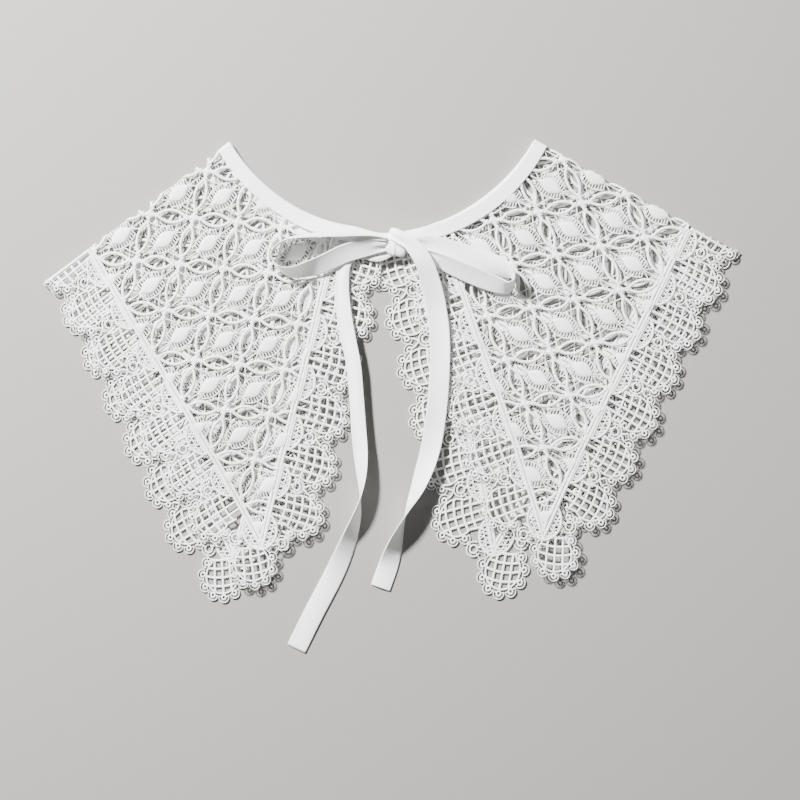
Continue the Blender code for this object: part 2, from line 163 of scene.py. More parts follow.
@dataclass(frozen=True)
class Laying:
    """How one half is folded at the shoulder and laid down, the same as its solid."""

    side: Side
    turn: int
    neck: tuple[float, float]
    crease_deg: float
    crease_q: float
    scale: float
    front_reach: float
    front_ease: float
    front_lean: float
    back_reach: float
    back_ease: float
    back_lean: float
    front_end_x: float
    band_end_x: float

    @property
    def crease(self) -> Vector:
        """The direction of the shoulder fold, away from the neck."""
        angle = math.radians(self.crease_deg)
        return Vector((math.cos(angle), math.sin(angle)))

    @property
    def across(self) -> Vector:
        """The direction that both panels run in from the shoulder fold."""
        along = self.crease
        return Vector((-along.y, along.x)) * self.turn

    def reach(self, p: float, panel: Panel) -> float:
        """Return how far one unit of the cut reaches from the crease.

        Args:
            p: The distance of the point from the neck, along the shoulder.
            panel: The panel that the point is on.

        Returns:
            The laid length of one millimetre of the cut.
        """
        if panel is Panel.FRONT:
            reach, ease = self.front_reach, self.front_ease
        else:
            reach, ease = self.back_reach, self.back_ease
        return reach * (1.0 + ease * (1.0 - p / CUT.shoulder_line))

    def place(self, p: float, q: float, lift: float, thick: float = CUT.thick) -> Vector:
        """Return where a point of the cut lies once the half is folded and laid.

        Args:
            p: The distance from the neck, along the shoulder.
            q: The distance along the edge, from the back (negative) to the front.
            lift: The distance out of the middle of the cloth, positive on its right side.
            thick: The whole thickness of the cloth that is folded.

        Returns:
            The place in metres, in the frame of the solids.
        """
        panel = Panel.FRONT if q >= self.crease_q else Panel.BACK
        distance = (q - self.crease_q) * self.reach(p, panel)
        radius = CUT.fold_radius
        quarter = radius * math.pi / 2.0
        middle = thick / 2.0 + radius
        lift = min(lift, thick / 2.0) if panel is Panel.BACK else lift
        shear = 0.0
        if abs(distance) <= quarter:
            angle = distance / radius
            down = radius - (radius + lift) * math.cos(angle)
            height = middle + (radius + lift) * math.sin(angle)
        else:
            down = radius + abs(distance) - quarter
            height = middle + panel.value * (radius + lift)
            shear = (self.front_lean if panel is Panel.FRONT else self.back_lean) * (abs(distance) - quarter)
            if panel is Panel.FRONT:
                height += self.wave(p, q)
        flat = Vector(self.neck) + self.crease * (p * self.scale + shear) + self.across * down - LAY_CENTRE
        return Vector((flat.x, flat.y, max(height, 0.0))) * MM

    def wave(self, p: float, q: float) -> float:
        """Return the height of the front panel's soft waves at a point of the cut."""
        fade = smoothstep(p, *WAVE_FADE_P) * smoothstep(q, *WAVE_FADE_Q)
        return WAVE_HEIGHT * fade * math.sin(math.pi * q / WAVE_LENGTH) ** 2

    def unplace(self, x: float, y: float, panel: Panel) -> Vector:
        """Return the point of the cut that lies at x, y on one panel, in millimetres.

        Args:
            x: The place across the laid collar, before it is centred.
            y: The place up the laid collar, before it is centred.
            panel: The panel to read.

        Returns:
            The p and q of that point.
        """
        offset = Vector((x, y)) - Vector(self.neck)
        quarter = CUT.fold_radius * math.pi / 2.0
        distance = offset.dot(self.across) - CUT.fold_radius + quarter
        lean = self.front_lean if panel is Panel.FRONT else self.back_lean
        p = (offset.dot(self.crease) - lean * (distance - quarter)) / self.scale
        return Vector((p, self.crease_q + panel.value * distance / self.reach(p, panel)))


LEFT = Laying(side=Side.LEFT, turn=1, neck=(-101.2, 142.6), crease_deg=217.0, crease_q=-1.0, scale=0.96,
              front_reach=0.958, front_ease=0.04, front_lean=0.11,
              back_reach=0.945, back_ease=0.06, back_lean=0.205, front_end_x=-8.0, band_end_x=0.9)
RIGHT = Laying(side=Side.RIGHT, turn=-1, neck=(87.7, 144.9), crease_deg=-28.6, crease_q=2.4, scale=0.965,
               front_reach=0.987, front_ease=-0.015, front_lean=0.05,
               back_reach=1.075, back_ease=-0.05, back_lean=-0.05, front_end_x=5.5, band_end_x=0.3)


@dataclass(frozen=True)
class Thread:
    """The cross-section of a cord or bar: its width, its height and how many sides it has."""

    width: float
    height: float
    sides: int = 6


LENS_CORD = Thread(width=1.75, height=1.5, sides=8)
EDGE_CORD = Thread(width=1.9, height=1.35, sides=8)
RIM_CORD = Thread(width=1.2, height=1.2)
NET_BAR = Thread(width=1.6, height=0.95)
PICOT_CORD = Thread(width=1.15, height=1.1)
PICOT_RIM = Thread(width=0.6, height=0.9, sides=5)
PAD_CORD = Thread(width=1.5, height=1.3)
ARCH_RIM = Thread(width=0.9, height=0.9, sides=5)
LASH_BAR = Thread(width=0.68, height=0.7, sides=5)
FINE_BAR = Thread(width=0.7, height=0.62, sides=5)
MESH_BAR = Thread(width=0.72, height=0.75, sides=5)


class Motif:
    """A motif of the lace in the flat, built up from cords, bars and pads."""

    def __init__(self) -> None:
        """Start an empty motif."""
        self.work = bmesh.new()
        self.run = self.work.verts.layers.float.new("run")

    def _tag(self, verts: Iterable[bmesh.types.BMVert], measure: Callable[[Vector], float]) -> None:
        """Store how far along its thread each new point lies, for the stitches."""
        for vert in verts:
            vert[self.run] = measure(vert.co)

    def arc(self, centre: Sequence[float], radius: float, start: float, sweep: float, thread: Thread,
            steps: int, lift: float = 0.0) -> None:
        """Add a cord along an arc.

        Args:
            centre: The middle of the arc.
            radius: The radius to the middle of the cord.
            start: The angle that the cord starts at, in degrees.
            sweep: The angle that it turns through, in degrees; 360 makes a ring.
            thread: The cord's cross-section.
            steps: How many straight pieces the arc has.
            lift: The height of the cord's middle above the middle of the cloth.
        """
        middle = Vector((*centre, 0.0))
        place = (Matrix.Translation(middle) @ Matrix.Rotation(math.radians(start), 4, "Z")
                 @ Matrix.Translation((radius, 0.0, lift)) @ Matrix.Rotation(math.pi / 2.0, 4, "X")
                 @ Matrix.Diagonal((thread.width, thread.height, 1.0, 1.0)))
        ring = bmesh.ops.create_circle(self.work, cap_ends=False, segments=thread.sides, radius=0.5,
                                       matrix=place)["verts"]
        edges = list({edge for vert in ring for edge in vert.link_edges})
        closed = abs(sweep) >= 360.0
        before = set(self.work.verts) - set(ring)
        bmesh.ops.spin(self.work, geom=ring + edges, cent=middle, axis=(0.0, 0.0, 1.0), dvec=(0.0, 0.0, 0.0),
                       angle=math.radians(sweep), steps=steps, use_merge=closed, use_duplicate=False)
        new = [vert for vert in self.work.verts if vert not in before]
        self._tag(new, lambda point: radius * math.atan2(point.y - middle.y, point.x - middle.x))

    def bar(self, start: Sequence[float], end: Sequence[float], thread: Thread, lift: float = 0.0,
            cuts: int = 0) -> None:
        """Add a straight bar between two points.

        Args:
            start: One end of the bar.
            end: The other end.
            thread: The bar's cross-section.
            lift: The height of its middle above the middle of the cloth.
            cuts: How many times it is cut across, so that it can follow the waves of the cloth.
        """
        first, last = Vector((*start, lift)), Vector((*end, lift))
        along = (last - first).normalized()
        beside, upright = Vector((-along.y, along.x, 0.0)), Vector((0.0, 0.0, 1.0))
        turned = Matrix((beside, upright, along)).transposed().to_4x4()
        place = (Matrix.Translation((first + last) / 2.0) @ turned
                 @ Matrix.Diagonal((thread.width, thread.height, 1.0, 1.0)))
        before = set(self.work.verts) if cuts else set()
        new = bmesh.ops.create_cone(self.work, cap_ends=True, cap_tris=False, segments=thread.sides, radius1=0.5,
                                    radius2=0.5, depth=(last - first).length, matrix=place)["verts"]
        if cuts:
            sides = [edge for edge in {edge for vert in new for edge in vert.link_edges}
                     if abs((edge.verts[1].co - edge.verts[0].co).normalized().dot(along)) > 0.9]
            bmesh.ops.subdivide_edges(self.work, edges=sides, cuts=cuts)
            new = [vert for vert in self.work.verts if vert not in before]
        self._tag(new, lambda point: (point - first).dot(along))

    def pad(self, centre: Sequence[float], half_length: float, half_width: float, height: float,
            angle: float = 0.0, point: float = 1.5, segments: tuple[int, int] = (16, 8),
            lift: float = 0.0) -> None:
        """Add a padded leaf or dot, worked in satin stitch.

        Args:
            centre: The middle of the pad.
            half_length: Half its length.
            half_width: Half its width.
            height: Its whole height.
            angle: The direction of its length, in degrees.
            point: How pointed its ends are: 1 is a diamond and 2 is nearly round.
            segments: Its faces round and from bottom to top.
            lift: The height of its middle above the middle of the cloth.
        """
        new = bmesh.ops.create_uvsphere(self.work, u_segments=segments[0], v_segments=segments[1],
                                        radius=1.0)["verts"]
        for vert in new:
            x = min(abs(vert.co.x), 1.0)
            vert.co.y *= (1.0 - x ** point) / max(math.sqrt(1.0 - x * x), 0.2)
        self._tag(new, lambda place: place.x * half_length)
        place = (Matrix.Translation((*centre, lift)) @ Matrix.Rotation(math.radians(angle), 4, "Z")
                 @ Matrix.Diagonal((half_length, half_width, height / 2.0, 1.0)))
        bmesh.ops.transform(self.work, matrix=place, verts=new)

    def finished(self, name: str) -> bpy.types.Mesh:
        """Close the ends of the cords and return the motif as a mesh.

        Args:
            name: The name of the mesh.

        Returns:
            The mesh, in the flat.
        """
        open_edges = [edge for edge in self.work.edges if edge.is_boundary]
        bmesh.ops.holes_fill(self.work, edges=open_edges, sides=0)
        mesh = bpy.data.meshes.new(name)
        self.work.to_mesh(mesh)
        self.work.free()
        return mesh


@dataclass
class LeafCell:
    """One cell of the leaf field: its lens cords, its padded leaf, its bars and its lattices."""

    lens_sagitta: float = 3.45
    lens_radius: float = 13.5
    cord_overrun: float = 1.5
    arc_steps: int = 11
    node_reach: float = 3.4
    leaf_half_length: float = 7.7
    leaf_half_width: float = 4.4
    leaf_height: float = 1.9
    leaf_roundness: float = 1.65
    halo_reach: float = 6.7
    halo_radius: float = 13.0
    halo_half_span: float = 37.0
    lashes: int = 10
    lattice_row: float = 10.1
    march_step: float = 0.2
    node_star: tuple[float, float, float] = (3.3, 2.4, 1.15)
    node_ray: tuple[float, float, float] = (6.1, 1.3, 1.45)
    fan_degrees: tuple[float, ...] = (-34.0, 0.0, 34.0)
    longest_bar: float = 9.0
    lattice_leans: tuple[float, ...] = (0.85, -0.62)

    @property
    def middle(self) -> Vector:
        """The middle of the cell, where its leaf lies."""
        return Vector((CUT.cell_half_p, 0.0))

    def lens_circle(self, node: Vector, sign: int, bulge: int) -> tuple[Vector, float]:
        """Return the circle of one cord of a lens.

        Args:
            node: The node that the lens starts from.
            sign: 1 for the lens towards the front, -1 for the one towards the back.
            bulge: The side that the cord bulges to.

        Returns:
            The circle's centre, and the direction of the bulge in degrees.
        """
        edge = Vector((CUT.cell_half_p, sign * CUT.cell_half_q))
        out = Vector((-edge.y, edge.x)).normalized() * bulge
        centre = node + edge / 2.0 - out * (self.lens_radius - self.lens_sagitta)
        return centre, math.degrees(math.atan2(out.y, out.x))

    def blocked(self, point: Vector) -> bool:
        """Return whether a point lies on a node, on a cord or outside the cell."""
        a, b = CUT.cell_half_p, CUT.cell_half_q
        if abs(point.x - a) / a + abs(point.y) / b >= 1.0:
            return True
        nodes = (Vector((0.0, 0.0)), Vector((2.0 * a, 0.0)), Vector((a, b)), Vector((a, -b)))
        owners = ((nodes[0], 1, -1), (nodes[0], -1, 1), (nodes[2], -1, -1), (nodes[3], 1, 1))
        centres = (self.lens_circle(*owner)[0] for owner in owners)
        return (any((point - node).length < self.node_reach for node in nodes)
                or any((point - centre).length < self.lens_radius for centre in centres))

    def march(self, start: Vector, direction: Vector, furthest: float) -> Vector:
        """Return where a bar from start meets the cords of its cell, or its furthest point."""
        along = direction.normalized()
        travelled = 0.0
        while travelled < furthest and not self.blocked(start + along * travelled):
            travelled += self.march_step
        return start + along * min(travelled, furthest)

    def leaf_side(self, share: float) -> float:
        """Return the half-width of the leaf at a share of its half-length."""
        return self.leaf_half_width * (1.0 - abs(share) ** self.leaf_roundness)

    def work(self) -> bpy.types.Mesh:
        """Return one cell, with its node at the origin and its leaf towards the shoulder."""
        motif = Motif()
        origin = Vector((0.0, 0.0))
        reach = self.lens_radius - self.lens_sagitta
        half_span = math.degrees(math.acos(reach / self.lens_radius) + self.cord_overrun / self.lens_radius)
        for sign in (1, -1):
            for bulge in (1, -1):
                centre, out = self.lens_circle(origin, sign, bulge)
                motif.arc(centre, self.lens_radius, out - half_span, 2.0 * half_span, LENS_CORD,
                          self.arc_steps, lift=0.15 + 0.05 * bulge)
        self._node(motif)
        motif.pad(self.middle, self.leaf_half_length, self.leaf_half_width, self.leaf_height,
                  point=self.leaf_roundness, segments=(16, 8), lift=0.25)
        self._lashes(motif)
        self._lattices(motif)
        return motif.finished("leaf_cell")

    def _node(self, motif: Motif) -> None:
        """Add the star of satin stitch that joins four lenses."""
        lean = math.degrees(math.atan2(CUT.cell_half_q, CUT.cell_half_p))
        motif.pad((0.0, 0.0), *self.node_star, point=1.3, segments=(14, 6), lift=0.05)
        for angle in (lean, -lean):
            motif.pad((0.0, 0.0), *self.node_ray, angle=angle, point=3.0, segments=(16, 6), lift=0.12)

    def _lashes(self, motif: Motif) -> None:
        """Add the short bars that stand round the leaf, and the thread that they end on."""
        drop = self.halo_radius - self.halo_reach
        for side in (1, -1):
            hub = self.middle - Vector((0.0, side * drop))
            motif.arc(hub, self.halo_radius, 90.0 * side - self.halo_half_span, 2.0 * self.halo_half_span,
                      FINE_BAR, 8)
            for index in range(self.lashes):
                share = -1.0 + 2.0 * index / (self.lashes - 1)
                angle = math.radians(self.halo_half_span * share)
                end = hub + Vector((math.sin(angle), side * math.cos(angle))) * self.halo_radius
                root = 0.92 * math.sin(angle) / math.sin(math.radians(self.halo_half_span))
                rim = Vector((root * self.leaf_half_length, side * self.leaf_side(root) * 0.85))
                start = self.middle + rim
                motif.bar(start, self.march(start, end - start, (end - start).length), LASH_BAR)
        for end in (1, -1):
            start = self.middle + Vector((end * self.leaf_half_length * 0.93, 0.0))
            for angle in self.fan_degrees:
                turn = math.radians(angle)
                fan = Vector((end * math.cos(turn), math.sin(turn)))
                motif.bar(start, self.march(start, fan, self.longest_bar), LASH_BAR)

    def _lattices(self, motif: Motif) -> None:
        """Add the two threads that cross in each corner of the cell beside the leaf."""
        for side in (1, -1):
            for lean in self.lattice_leans:
                start = self.middle + Vector((0.0, side * self.lattice_row))
                ahead = Vector((lean, side * 1.0)).normalized()
                far = self.march(start, ahead, self.longest_bar)
                near = self.march(start, -ahead, (self.lattice_row - self.halo_reach) / abs(ahead.y) + 0.6)
                motif.bar(near, far, FINE_BAR, lift=0.1 * lean)


@dataclass
class Scallop:
    """One round scallop of the edge, with its net and its picots; u runs tipward, v outward."""

    picot_ring: float = 12.5
    picot_radius: float = 1.3
    picot_rim: float = 3.1
    rim_half_span: float = 104.0
    picots: int = 5
    picot_span: float = 132.0
    picot_turn: float = 0.0
    net_radius: float = 10.3
    net_pitch: float = 5.0
    net_bend: float = 34.0
    net_span: float = 250.0
    net_foot: tuple[float, float] = (9.0, -11.9)
    net_depth: float = 17.4

    def work(self) -> bpy.types.Mesh:
        """Return one scallop, with the middle of its lobe at the origin."""
        motif = Motif()
        self._picots(motif)
        self._net(motif)
        return motif.finished("scallop")

    def _picots(self, motif: Motif) -> None:
        """Add the ring picots, each with a fine rim that stands clear of its ring."""
        first = 90.0 - self.picot_turn - self.picot_span / 2.0
        for index in range(self.picots):
            degrees = first + self.picot_span * index / (self.picots - 1)
            angle = math.radians(degrees)
            out = Vector((math.cos(angle), math.sin(angle)))
            centre = out * self.picot_ring
            motif.arc(centre, self.picot_radius, 0.0, 360.0, PICOT_CORD, 12)
            motif.arc(centre, self.picot_rim, degrees - self.rim_half_span, 2.0 * self.rim_half_span,
                      PICOT_RIM, 12)
            for side in (1.0, -1.0):
                turn = angle + math.radians(self.rim_half_span) * side
                beside = Vector((math.cos(turn), math.sin(turn)))
                motif.bar(centre + beside, centre + beside * self.picot_rim, LASH_BAR)
            motif.bar(out * (self.net_radius - 0.3), centre - out, NET_BAR)

    def _net(self, motif: Motif) -> None:
        """Add the rim and the open net, which narrows between the pads down to the straight cord."""
        motif.arc((0.0, 0.0), self.net_radius, 90.0 - self.net_span / 2.0, self.net_span, RIM_CORD, 22)
        turn = math.radians(self.net_span / 2.0)
        end = Vector((math.sin(turn), math.cos(turn))) * self.net_radius
        foot = Vector(self.net_foot)
        for side in (1.0, -1.0):
            motif.bar((side * end.x, end.y), (side * foot.x, foot.y), NET_BAR, cuts=1)
        for column in (-1, 0, 1):
            u = column * self.net_pitch
            top = math.sqrt(self.net_radius ** 2 - u * u)
            motif.bar((u * 1.04, top - 0.2), (u * 0.9, -self.net_depth), NET_BAR, lift=0.05, cuts=4)
        for row in (1, 0, -1, -2):
            v = row * self.net_pitch + 0.4
            if v > end.y:
                half = math.sqrt(self.net_radius ** 2 - v * v)
            else:
                half = end.x + (foot.x - end.x) * (v - end.y) / (foot.y - end.y)
            span = math.degrees(2.0 * half / self.net_bend)
            motif.arc((0.0, v + 0.7 - self.net_bend), self.net_bend, 90.0 - span / 2.0, span, NET_BAR, 5)


@dataclass
class Joint:
    """What lies between two scallops: a close-worked pad beside the cord and an arch above it."""

    foot: float = -16.6
    half_length: float = 10.4
    depth: float = 6.4
    mesh_pitch: float = 2.4
    mesh_lean: float = 34.0
    middle_thread: float = 0.5
    arch_middle: float = -5.7
    arch_ring: float = 2.25
    arch_rim: float = 4.1
    seed: int = 7

    @property
    def radius(self) -> float:
        """The radius of the pad's round side."""
        return (self.half_length ** 2 + self.depth ** 2) / (2.0 * self.depth)

    def pad(self) -> bpy.types.Mesh:
        """Return the pad, its straight side beside the cord and its round side outward."""
        motif = Motif()
        hub = Vector((0.0, self.foot + self.depth - self.radius))
        turn = math.degrees(math.asin(self.half_length / self.radius))
        motif.arc(hub, self.radius, 90.0 - turn, 2.0 * turn, PAD_CORD, 18, lift=0.15)
        motif.bar((-self.half_length, self.foot), (self.half_length, self.foot), PAD_CORD, lift=0.1, cuts=4)
        uneven = Random(self.seed)
        count = round(2.0 * self.half_length / self.mesh_pitch)
        for side in (1.0, -1.0):
            for index in range(-2, count + 3):
                lean = math.radians(self.mesh_lean * uneven.uniform(0.8, 1.2)) * side
                along = Vector((math.sin(lean), math.cos(lean)))
                place = index - count / 2.0 + uneven.uniform(-0.2, 0.2)
                start = Vector((self.mesh_pitch * place, self.foot))
                spoke = start - hub
                inside = spoke.dot(along) ** 2 - spoke.length_squared + self.radius ** 2
                far = math.sqrt(inside) - spoke.dot(along) if inside > 0.0 else 0.0
                if abs(start.x) < self.half_length and far > 1.0:
                    motif.bar(start, start + along * far, MESH_BAR, lift=0.1 * side)
        rise = self.radius - self.depth * (1.0 - self.middle_thread)
        half = math.sqrt(self.radius ** 2 - rise ** 2)
        motif.bar((-half, hub.y + rise), (half, hub.y + rise), FINE_BAR, cuts=3)
        return motif.finished("leaf_pad")

    def arch(self, ties: Sequence[tuple[float, float]], forked: bool = False) -> bpy.types.Mesh:
        """Return the ring and the arch over it, tied to the scallops on both sides.

        Args:
            ties: Where its side bars end, from its middle.
            forked: Whether two bars join its top to the picots.

        Returns:
            The motif, with the middle between the two lobes at the origin.
        """
        motif = Motif()
        middle = Vector((0.0, self.arch_middle))
        motif.arc(middle, self.arch_ring, 0.0, 360.0, PICOT_CORD, 14)
        motif.arc(middle, self.arch_rim, -42.0, 264.0, ARCH_RIM, 16)
        motif.bar(middle - Vector((0.0, self.arch_ring)), (0.0, self.foot + self.depth), NET_BAR)
        for tie in ties:
            end = Vector(tie)
            motif.bar(middle + end.normalized() * self.arch_ring, middle + end, FINE_BAR)
        if forked:
            top = middle + Vector((0.0, self.arch_rim))
            for side in (1.0, -1.0):
                motif.bar(top, top + Vector((side * 2.6, 3.4)), RIM_CORD)
        return motif.finished("arch")


@dataclass
class LaceHalf:
    """One half of the lace: its leaf field, its straight cords and its scallops."""

    laying: Laying
    cell: LeafCell = field(default_factory=LeafCell)
    scallop: Scallop = field(default_factory=Scallop)
    end_scallop: Scallop = field(default_factory=lambda: Scallop(picots=6, picot_span=165.0, picot_turn=16.5))
    tip_scallop: Scallop = field(default_factory=lambda: Scallop(
        picots=9, picot_span=262.0, net_span=284.0, net_foot=(6.4, -10.4), net_depth=10.0))
    joint: Joint = field(default_factory=Joint)
    tip_pad_back: float = 3.2
    tip_arch_back: float = 7.6
    tip_draw: float = 3.8
    tip_bend: float = 46.0
    inner_arch: float = 19.4
    arch_ties: tuple[tuple[float, float], ...] = ((5.7, 0.8), (5.7, -2.6), (-5.7, 0.8), (-5.7, -2.6))
    outer_ties: tuple[tuple[float, float], ...] = ((5.0, 3.5), (-4.6, 3.0))
    inner_ties: tuple[tuple[float, float], ...] = ((6.9, -2.6), (3.9, -6.4), (-5.0, 2.6))
    cord_gap: float = 2.1
    cord_piece: float = 5.75
    net_reach: int = 14
    neck_margin: float = 0.5
    sharp_degrees: float = 80.0

    def build(self) -> bpy.types.Object:
        """Return the half as one piece, folded and laid."""
        sheet = bmesh.new()
        self._work_field(sheet)
        self._clip_field(sheet)
        self._work_cords(sheet)
        self._work_scallops(sheet)
        self._clip_neck(sheet)
        self._clip_ends(sheet)
        self._lay(sheet)
        piece = smooth_piece(f"{self.laying.side.value}_guipure", sheet)
        piece.data.set_sharp_from_angle(angle=math.radians(self.sharp_degrees))
        return piece

    def _stamp(self, sheet: bmesh.types.BMesh, motif: bpy.types.Mesh, origin: Vector, u: Vector,
               v: Vector) -> None:
        """Add a copy of a motif, with its own directions laid along u and v."""
        copy = motif.copy()
        turned = Matrix((Vector((*u, 0.0)), Vector((*v, 0.0)), Vector((0.0, 0.0, 1.0)))).transposed().to_4x4()
        copy.transform(Matrix.Translation((*origin, 0.0)) @ turned)
        if turned.determinant() < 0.0:
            copy.flip_normals()
        sheet.from_mesh(copy)
        bpy.data.meshes.remove(copy)

    def _work_field(self, sheet: bmesh.types.BMesh) -> None:
        """Repeat the leaf cell over the whole field, with room to spare at the edges."""
        motif = self.cell.work()
        for column in range(-self.net_reach, self.net_reach + 1):
            for row in range(-self.net_reach, self.net_reach + 1):
                if (column + row) % 2:
                    continue
                node = Vector(CUT.cell_node) + Vector((CUT.cell_half_p * column, CUT.cell_half_q * row))
                if self._near_field(node + Vector((CUT.cell_half_p / 2.0, 0.0))):
                    self._stamp(sheet, motif, node, Vector((1.0, 0.0)), Vector((0.0, 1.0)))
        bpy.data.meshes.remove(motif)

    def _near_field(self, point: Vector) -> bool:
        """Return whether a cell at a point could reach into the leaf field."""
        room = 2.0 * CUT.cell_half_p
        depth = (Vector((point.x, abs(point.y))) - CUT.inner_cord_start).dot(-CUT.inner_outward)
        from_neck = math.hypot(point.x - CUT.neck_centre, point.y) - CUT.neck_radius
        return point.x < CUT.cord_line + room and depth > -room and from_neck > -room

    def _clip_field(self, sheet: bmesh.types.BMesh) -> None:
        """Cut the leaf field off along the three straight cords."""
        start, out = CUT.inner_cord_start, CUT.inner_outward
        planes = [(Vector((CUT.cord_line, 0.0)), Vector((1.0, 0.0))), (start, out),
                  (Vector((start.x, -start.y)), Vector((out.x, -out.y)))]
        for point, normal in planes:
            self._cut_off(sheet, point, normal)

    def _cut_off(self, sheet: bmesh.types.BMesh, point: Vector, normal: Vector,
                 panel: Optional[Panel] = None) -> None:
        """Cut away what lies past a line, on one panel or on both, and close the cut ends."""
        verts = [vert for vert in sheet.verts if panel is None or vert.co.y * panel.value > 30.0]
        inside = set(verts)
        edges = [edge for edge in sheet.edges if edge.verts[0] in inside and edge.verts[1] in inside]
        faces = [face for face in sheet.faces if all(vert in inside for vert in face.verts)]
        bmesh.ops.bisect_plane(sheet, geom=verts + edges + faces, dist=0.0001, plane_co=(*point, 0.0),
                               plane_no=(*normal, 0.0), clear_outer=True)
        self._close(sheet)

    def _close(self, sheet: bmesh.types.BMesh) -> None:
        """Close the ends of the threads that were cut."""
        bmesh.ops.holes_fill(sheet, edges=[edge for edge in sheet.edges if edge.is_boundary], sides=0)

    def _work_cords(self, sheet: bmesh.types.BMesh) -> None:
        """Add the double cords along the straight edges of the field, drawn out to the tips."""
        corner = CUT.cord_corner
        bend = corner - Vector((0.0, self.tip_bend))
        route = (bend, corner + CUT.tip_outward * self.tip_draw, corner - CUT.tipward * self.tip_bend,
                 corner - CUT.tipward * (CUT.lobe_pitch * (CUT.inner_lobes + 1.4)))
        motif = Motif()
        self._cord_line(motif, Vector((bend.x, -bend.y)), bend)
        for sign in (1.0, -1.0):
            for start, end in zip(route, route[1:]):
                self._cord_line(motif, Vector((start.x, start.y * sign)), Vector((end.x, end.y * sign)))
        mesh = motif.finished("edge_cords")
        sheet.from_mesh(mesh)
        bpy.data.meshes.remove(mesh)

    def _cord_line(self, motif: Motif, start: Vector, end: Vector) -> None:
        """Add one double cord from start to end."""
        along = (end - start).normalized()
        beside = Vector((-along.y, along.x)) * (self.cord_gap / 2.0)
        cuts = math.ceil((end - start).length / self.cord_piece)
        for offset in (beside, -beside):
            motif.bar(start + offset, end + offset, EDGE_CORD, lift=0.2, cuts=cuts)

    def _work_scallops(self, sheet: bmesh.types.BMesh) -> None:
        """Set the scallops and what joins them along the shoulder edge, the inner edges and the tips."""
        plain, last, round_tip = self.scallop.work(), self.end_scallop.work(), self.tip_scallop.work()
        pad, arch = self.joint.pad(), self.joint.arch(self.arch_ties, forked=True)
        outer_arch, inner_arch = self.joint.arch(self.outer_ties), self.joint.arch(self.inner_ties)
        outward, half = Vector((1.0, 0.0)), CUT.lobe_pitch / 2.0
        for sign in (1.0, -1.0):
            tipward = Vector((0.0, sign))
            for step in range(0 if sign > 0.0 else 1, CUT.shoulder_lobes + 1):
                middle = Vector((CUT.shoulder_line, CUT.lobe_pitch * step * sign))
                self._stamp(sheet, last if step == CUT.shoulder_lobes else plain, middle, tipward, outward)
            for step in range(CUT.shoulder_lobes):
                between = Vector((CUT.shoulder_line, (CUT.lobe_pitch * step + half) * sign))
                for motif in (pad, arch):
                    self._stamp(sheet, motif, between, tipward, outward)
            for motif, back in ((pad, self.tip_pad_back), (outer_arch, self.tip_arch_back)):
                beside = Vector((CUT.shoulder_line, (CUT.cord_corner.y - back) * sign))
                self._stamp(sheet, motif, beside, tipward, outward)
            self._work_inner_edge(sheet, sign, (plain, last, pad, arch, inner_arch))
            out = Vector((CUT.tip_outward.x, CUT.tip_outward.y * sign))
            tip = Vector((CUT.tip_lobe[0], CUT.tip_lobe[1] * sign))
            self._stamp(sheet, round_tip, tip, Vector((-out.y, out.x)) * sign, out)
        for motif in (plain, last, round_tip, pad, arch, outer_arch, inner_arch):
            bpy.data.meshes.remove(motif)

    def _work_inner_edge(self, sheet: bmesh.types.BMesh, sign: float,
                         motifs: Sequence[bpy.types.Mesh]) -> None:
        """Set the scallops and what joins them up one inner edge.

        Args:
            sheet: The flat work.
            sign: 1 for the front panel, -1 for the back one.
            motifs: The plain scallop, the last one, the pad, the arch and the last arch.
        """
        plain, last, pad, arch, last_arch = motifs
        u = Vector((CUT.tipward.x, CUT.tipward.y * sign))
        v = Vector((CUT.inner_outward.x, CUT.inner_outward.y * sign))
        first = Vector((CUT.inner_lobe[0], CUT.inner_lobe[1] * sign))
        step = Vector((CUT.inner_step[0], CUT.inner_step[1] * sign))
        for index in range(CUT.inner_lobes):
            self._stamp(sheet, plain if index else last, first + step * index, u, v)
            for motif in (pad, arch):
                self._stamp(sheet, motif, first + step * (index + 0.5), u, v)
        to_corner = (CUT.cord_corner - Vector(CUT.inner_lobe)).dot(CUT.tipward)
        self._stamp(sheet, pad, first + u * (to_corner - self.tip_pad_back), u, v)
        self._stamp(sheet, last_arch, first + u * self.inner_arch, u, v)

    def _clip_neck(self, sheet: bmesh.types.BMesh) -> None:
        """Take away what lies inside the neckband."""
        limit = CUT.neck_radius - self.neck_margin
        inside = [face for face in sheet.faces
                  if all(math.hypot(vert.co.x - CUT.neck_centre, vert.co.y) < limit for vert in face.verts)]
        bmesh.ops.delete(sheet, geom=inside, context="FACES")
        self._close(sheet)
        centre = Vector((CUT.neck_centre, 0.0, 0.0))
        for vert in sheet.verts:
            spoke = Vector((vert.co.x, vert.co.y, 0.0)) - centre
            if spoke.length < limit:
                height = vert.co.z
                vert.co = centre + spoke.normalized() * limit
                vert.co.z = height

    def _clip_ends(self, sheet: bmesh.types.BMesh) -> None:
        """Cut the front off under the knot, and the back along the seam of the two halves."""
        outward = -1.0 if self.laying.side is Side.LEFT else 1.0
        ends = ((Panel.FRONT, self.laying.front_end_x), (Panel.BACK, BACK_SEAM_X + outward * 0.15))
        for panel, limit in ends:
            low = self.laying.unplace(limit, 60.0, panel)
            high = self.laying.unplace(limit, 125.0, panel)
            past = self.laying.unplace(limit - outward * 10.0, 90.0, panel) - low
            along = (high - low).normalized()
            normal = Vector((-along.y, along.x))
            self._cut_off(sheet, low, normal if past.dot(normal) > 0.0 else -normal, panel)

    def _lay(self, sheet: bmesh.types.BMesh) -> None:
        """Fold the flat work over the shoulder and lay it down."""
        bmesh.ops.recalc_face_normals(sheet, faces=sheet.faces)
        for vert in sheet.verts:
            vert.co = self.laying.place(*vert.co)


